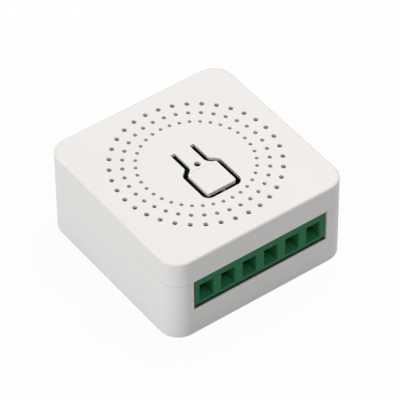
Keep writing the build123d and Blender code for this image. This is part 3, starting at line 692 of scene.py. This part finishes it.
class RELAYMODULE_OT_switch(Operator):
    """Finishes the push switch and the light under the button"""

    bl_idname = "relaymodule.switch"
    bl_label = "Switch and light"

    def execute(self, context):
        coat(["switch_body"], plain_moulding("switch_black", SWITCH_BLACK))
        sheet = plated_metal("switch_steel", SWITCH_STEEL, roughness=0.3,
                             stretch=SHEET_LINES_ALONG_X)
        coat(["switch_frame"], sheet)
        coat(["switch_plunger"], plain_moulding("plunger_grey", PLUNGER_GREY))
        coat(["status_light"], milky_resin("light_resin", CLEAR_RESIN))
        return {"FINISHED"}


# The camera, worked out from the places of the vent holes in the photograph
CAMERA_PLACE = Vector((-0.25182, -0.34919, 0.43310))
CAMERA_RIGHT = Vector((0.80609317, -0.59174658, -0.00705647))
CAMERA_DOWN = Vector((-0.41901441, -0.56229129, -0.71292036))
SENSOR_WIDTH = 36.0
NEAREST, FARTHEST = 0.01, 20.0

# The lamps: their size, their places and their colours
LAMP_SIZE = 0.5
SIDE_LAMP = (-1.155, 0.0, 0.32)
FRONT_LAMP = (0.0, -0.5, 0.866)
TOP_LAMP = (0.43, 0.16, 0.9)
WHITE = (1.0, 1.0, 1.0)
WARM_WHITE = (1.0, 0.965, 0.955)


def studio_camera(lens):
    """The camera of the photograph."""
    data = bpy.data.cameras.new("camera")
    data.lens = lens
    data.sensor_width = SENSOR_WIDTH
    data.clip_start = NEAREST
    data.clip_end = FARTHEST
    camera = bpy.data.objects.new("camera", data)
    bpy.context.scene.collection.objects.link(camera)
    back = -CAMERA_RIGHT.cross(CAMERA_DOWN)
    turn = Matrix((CAMERA_RIGHT, -CAMERA_DOWN, back)).transposed().to_4x4()
    camera.matrix_world = Matrix.Translation(CAMERA_PLACE) @ turn
    bpy.context.scene.camera = camera


def pale_floor(side, shadow):
    """A pale floor that shows white to the camera and keeps a faint shadow round the object."""
    shadow_radius = 70 * MM
    top = -0.01 * MM
    half = side / 2
    mesh = bpy.data.meshes.new("floor")
    corners = [(-half, -half, top), (half, -half, top), (half, half, top), (-half, half, top)]
    mesh.from_pydata(corners, [], [(0, 1, 2, 3)])
    floor = bpy.data.objects.new("floor", mesh)
    bpy.context.scene.collection.objects.link(floor)
    constants = {"Base Color": (0.5, 0.5, 0.5, 1.0), "Roughness": 0.9, "Specular IOR Level": 0.0}
    finish = Finish("floor_paper", constants)
    glow = finish.add("ShaderNodeEmission", {}, {"Color": (*WHITE, 1.0), "Strength": 1.0})
    rays = finish.tree.nodes.new("ShaderNodeLightPath").outputs
    direct = Value(finish, rays["Is Camera Ray"])
    mirrored = Value(finish, rays["Is Glossy Ray"])
    through = Value(finish, rays["Is Transmission Ray"])
    x, y, _ = finish.axes(finish.place())
    near = (1.0 - (x * x + y * y) / shadow_radius ** 2).clamped()
    share = (direct + mirrored + through).clamped() * (1.0 - near * shadow)
    surface = Value(finish, finish.shader.outputs[0])
    both = finish.add("ShaderNodeMixShader", {}, [share, surface, glow])
    finish.put(finish.tree.nodes["Material Output"].inputs["Surface"], both)
    mesh.materials.append(finish.material)


def lamp(name, place, power, colour):
    """A large square lamp that faces the middle of the object."""
    data = bpy.data.lights.new(name, "AREA")
    data.shape = "SQUARE"
    data.size = LAMP_SIZE
    data.energy = power
    data.color = colour
    light = bpy.data.objects.new(name, data)
    bpy.context.scene.collection.objects.link(light)
    middle = (CAD_BOX[0] + CAD_BOX[1]) / 2
    light.location = place
    light.rotation_mode = "QUATERNION"
    light.rotation_quaternion = (middle - light.location).to_track_quat("-Z", "Y")


def studio_sky(strength):
    """Even light from all round, white where the camera looks."""
    world = bpy.data.worlds.new("studio")
    bpy.context.scene.world = world
    world.use_nodes = True
    tree = world.node_tree
    background = tree.nodes["Background"]
    background.inputs["Color"].default_value = (*WHITE, 1.0)
    path = tree.nodes.new("ShaderNodeLightPath")
    seen = tree.nodes.new("ShaderNodeMath")
    seen.operation = "MULTIPLY_ADD"
    tree.links.new(path.outputs["Is Camera Ray"], seen.inputs[0])
    seen.inputs[1].default_value = 1.0 - strength
    seen.inputs[2].default_value = strength
    tree.links.new(seen.outputs[0], background.inputs["Strength"])


class RELAYMODULE_OT_stage(Operator):
    """Sets up the camera, the lights and the floor"""

    bl_idname = "relaymodule.stage"
    bl_label = "Stage"

    def execute(self, context):
        settings = context.scene.relay_module_stage
        studio_camera(settings.lens)
        pale_floor(settings.floor_side, settings.floor_shadow)
        lamp("side", SIDE_LAMP, settings.side, WHITE)
        lamp("front", FRONT_LAMP, settings.front, WHITE)
        lamp("top", TOP_LAMP, settings.top, WARM_WHITE)
        studio_sky(settings.sky)
        context.scene.view_settings.view_transform = "Standard"
        return {"FINISHED"}


OPERATORS = (
    RELAYMODULE_OT_case,
    RELAYMODULE_OT_terminals,
    RELAYMODULE_OT_board,
    RELAYMODULE_OT_relays,
    RELAYMODULE_OT_supply,
    RELAYMODULE_OT_radio,
    RELAYMODULE_OT_switch,
    RELAYMODULE_OT_stage,
)


class RELAYMODULE_PT_panel(Panel):
    """Lists the steps and the settings of the relay module"""

    bl_label = "Relay module"
    bl_idname = "RELAYMODULE_PT_panel"
    bl_space_type = "VIEW_3D"
    bl_region_type = "UI"
    bl_category = "Relay module"

    def draw(self, context):
        layout = self.layout
        for group in (context.scene.relay_module_finish, context.scene.relay_module_stage):
            for name in group.__annotations__:
                layout.prop(group, name)
        for operator in OPERATORS:
            layout.operator(operator.bl_idname)


CLASSES = (RelayModuleFinish, RelayModuleStage, *OPERATORS, RELAYMODULE_PT_panel)


def register():
    for registered in CLASSES:
        bpy.utils.register_class(registered)
    bpy.types.Scene.relay_module_finish = PointerProperty(type=RelayModuleFinish)
    bpy.types.Scene.relay_module_stage = PointerProperty(type=RelayModuleStage)


def unregister():
    del bpy.types.Scene.relay_module_stage
    del bpy.types.Scene.relay_module_finish
    for registered in reversed(CLASSES):
        bpy.utils.unregister_class(registered)


def main():
    register()
    bpy.ops.relaymodule.case()
    bpy.ops.relaymodule.terminals()
    bpy.ops.relaymodule.board()
    bpy.ops.relaymodule.relays()
    bpy.ops.relaymodule.supply()
    bpy.ops.relaymodule.radio()
    bpy.ops.relaymodule.switch()
    bpy.ops.relaymodule.stage()


if __name__ == "__main__":
    main()
